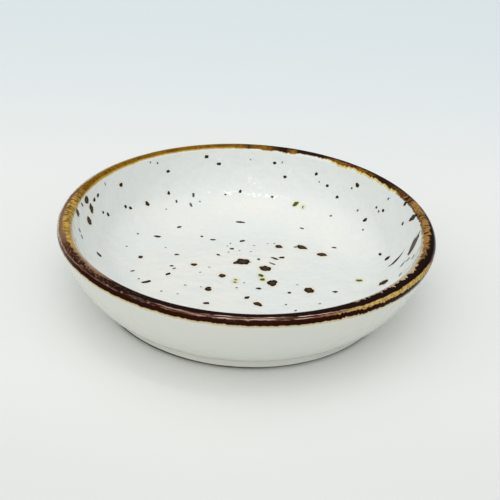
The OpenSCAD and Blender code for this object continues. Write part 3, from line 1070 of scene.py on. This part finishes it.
def add_camera():
    camera = bpy.data.objects.new("camera", bpy.data.cameras.new("camera"))
    bpy.context.scene.collection.objects.link(camera)
    camera.data.lens = CAMERA_LENS
    camera.data.clip_start = 0.01
    tilt = Matrix.Rotation(math.pi / 2 - CAMERA_ELEVATION + CAMERA_TILT, 4, "X")
    turn = Matrix.Rotation(CAMERA_PAN, 4, "Y") @ Matrix.Rotation(-CAMERA_ROLL, 4, "Z")
    back = Vector((0, -math.cos(CAMERA_ELEVATION), math.sin(CAMERA_ELEVATION)))
    camera.matrix_world = Matrix.Translation(CAMERA_AIM + CAMERA_DISTANCE * back) @ tilt @ turn
    bpy.context.scene.camera = camera


def add_lamp(name, place, across, upward, power):
    """A lamp that shines at the dish, with its size across and upward in metres."""
    lamp = bpy.data.lights.new(name, "AREA")
    lamp.shape = "RECTANGLE"
    lamp.size = across
    lamp.size_y = upward
    lamp.energy = power
    holder = bpy.data.objects.new(name, lamp)
    bpy.context.scene.collection.objects.link(holder)
    holder.location = place
    holder.rotation_euler = (-Vector(place)).to_track_quat("-Z", "Y").to_euler()


def studio_place(bearing, elevation, distance):
    """A place seen from the dish, its bearing in degrees to the right of the camera."""
    turn = math.radians(bearing)
    climb = math.radians(elevation)
    level = distance * math.cos(climb)
    return (level * math.sin(turn), -level * math.cos(turn), distance * math.sin(climb))


# The studio is dim behind the dish and brightens smoothly overhead and towards the camera
DIM_SIDE = 0.20
BRIGHT_SIDE = 1.26
BRIGHT_FROM, BRIGHT_TO = -0.1, 1.0
BRIGHT_PLACE = (-20, 70)
DIM_TINT = (0.94, 1.0, 0.99, 1)

# Lamps that glint in the glaze: bearing and elevation in degrees, height in metres
GLINT_LAMPS = [(-30, 14, 0.06), (20, 12, 0.06), (-10, 58, 0.06), (-8, 44, 0.16), (14, 40, 0.16),
               (-3, 36, 0.16)]
LAMP_DISTANCE = 0.9
GLINT_WIDTH = 0.007
GLINT_POWER = 0.4

# The strip overhead: bearing and elevation in degrees, length and width in metres, watts
STRIP_PLACE = (-20, 87)
STRIP_LENGTH, STRIP_WIDTH = 0.50, 0.02
STRIP_POWER = 0.4


def add_studio():
    """The light that comes from all round the dish."""
    world = bpy.data.worlds.new("studio")
    world.use_nodes = True
    tree = world.node_tree
    way = tree.nodes.new("ShaderNodeTexCoord")
    facing = tree.nodes.new("ShaderNodeVectorMath")
    facing.operation = "DOT_PRODUCT"
    facing.inputs[1].default_value = studio_place(*BRIGHT_PLACE, 1)
    step = tree.nodes.new("ShaderNodeMapRange")
    step.interpolation_type = "SMOOTHSTEP"
    for socket, value in zip(step.inputs[1:5], (BRIGHT_FROM, BRIGHT_TO, DIM_SIDE, BRIGHT_SIDE)):
        socket.default_value = value
    tint = tree.nodes.new("ShaderNodeValToRGB")
    tint.color_ramp.elements[0].position = DIM_SIDE
    tint.color_ramp.elements[0].color = DIM_TINT
    tint.color_ramp.elements[1].color = (1, 1, 1, 1)
    background = tree.nodes["Background"]
    tree.links.new(way.outputs["Generated"], facing.inputs[0])
    tree.links.new(facing.outputs["Value"], step.inputs[0])
    tree.links.new(step.outputs[0], tint.inputs[0])
    tree.links.new(tint.outputs[0], background.inputs["Color"])
    tree.links.new(step.outputs[0], background.inputs["Strength"])
    bpy.context.scene.world = world


def add_lamps():
    strip_place = studio_place(*STRIP_PLACE, LAMP_DISTANCE)
    add_lamp("overhead_strip", strip_place, STRIP_LENGTH, STRIP_WIDTH, STRIP_POWER)
    for bearing, elevation, height in GLINT_LAMPS:
        place = studio_place(bearing, elevation, LAMP_DISTANCE)
        add_lamp("glint_lamp", place, GLINT_WIDTH, height, GLINT_POWER * height)


FLOOR_SIDES = 96
FLOOR_RADIUS = 4.0


def add_floor():
    bm = bmesh.new()
    bmesh.ops.create_circle(bm, cap_ends=True, segments=FLOOR_SIDES, radius=FLOOR_RADIUS)
    mesh = bpy.data.meshes.new("floor")
    bm.to_mesh(mesh)
    bm.free()
    floor = bpy.data.objects.new("floor", mesh)
    bpy.context.scene.collection.objects.link(floor)
    floor.data.materials.append(pale_floor())


add_camera()
build_dish()
add_floor()
add_studio()
add_lamps()
bpy.context.scene.view_settings.view_transform = "Standard"
